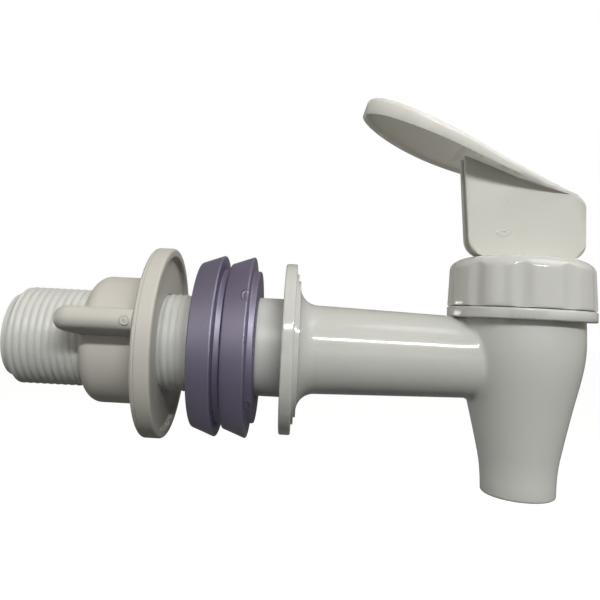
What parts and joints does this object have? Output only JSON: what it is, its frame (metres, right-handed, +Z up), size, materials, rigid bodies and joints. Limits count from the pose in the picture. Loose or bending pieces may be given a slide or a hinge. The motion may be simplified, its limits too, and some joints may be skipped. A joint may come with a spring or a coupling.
{
  "type": "beverage dispenser spigot",
  "caption": "Spring closed dispenser spigot with a threaded shank, flange, sealing gaskets, wing nut, fluted cap and thumb lever over a downward spout.",
  "frame": {"origin": "centre of the flange's back face, on the axis of the shank", "axes": "+X along the tube towards the spout, +Z up so that the spout points down, +Y to the left of someone who looks from the shank to the spout"},
  "size_m": [0.1101, 0.036, 0.0745],
  "materials": {
    "body_plastic": "moulded, semi gloss off-white",
    "stem_plastic": "moulded natural white",
    "spring_steel": "drawn wire",
    "seat_rubber": "milky silicone",
    "gasket_rubber": "translucent violet grey, satin",
    "nut_plastic": "matte beige grey moulding"
  },
  "bodies": {
    "faucet_body": {"body": "body_plastic", "seat_cup": "seat_rubber"},
    "bonnet": {"cap": "body_plastic"},
    "spring_carrier": {"spring": "spring_steel"},
    "valve_stem": {"stem": "stem_plastic"},
    "lever_body": {"lever": "body_plastic"},
    "gaskets": {"gasket_front": "gasket_rubber", "gasket_back": "gasket_rubber"},
    "nut": {"wing_nut": "nut_plastic"}
  },
  "joints": [
    {"name": "cap_turn", "type": "hinge", "parent": "faucet_body", "child": "bonnet", "pos_m": [0.0452, 0, 0.0096], "axis": [0, 0, 1], "range_deg": [0, 630]},
    {"name": "lever_swivel", "type": "hinge", "parent": "faucet_body", "child": "spring_carrier", "pos_m": [0.0452, 0, 0.0193], "axis": [0, 0, 1], "continuous": true},
    {"name": "stem_lift", "type": "slide", "parent": "spring_carrier", "child": "valve_stem", "axis": [0, 0, 1], "range_m": [0, 0.0034], "deforming": ["spring", "seat_cup"]},
    {"name": "lever_tilt", "type": "hinge", "parent": "valve_stem", "child": "lever_body", "pos_m": [0.0452, 0, 0.02537], "axis": [0, -1, 0], "range_deg": [0, 28], "stiffness_Nm_per_rad": 0.026, "springref_deg": -21.2},
    {"name": "gasket_travel", "type": "slide", "parent": "faucet_body", "child": "gaskets", "axis": [1, 0, 0], "range_m": [-0.0108, 0.0047]},
    {"name": "nut_turn", "type": "hinge", "parent": "gaskets", "child": "nut", "pos_m": [-0.03, 0, 0], "axis": [1, 0, 0], "range_deg": [-2880, 1260]}
  ],
  "couplings": [
    {"joint": "stem_lift", "follows": "lever_tilt", "m_per_rad": 0.0068},
    {"joint": "gasket_travel", "follows": "nut_turn", "m_per_rad": 0.00021279}
  ]
}
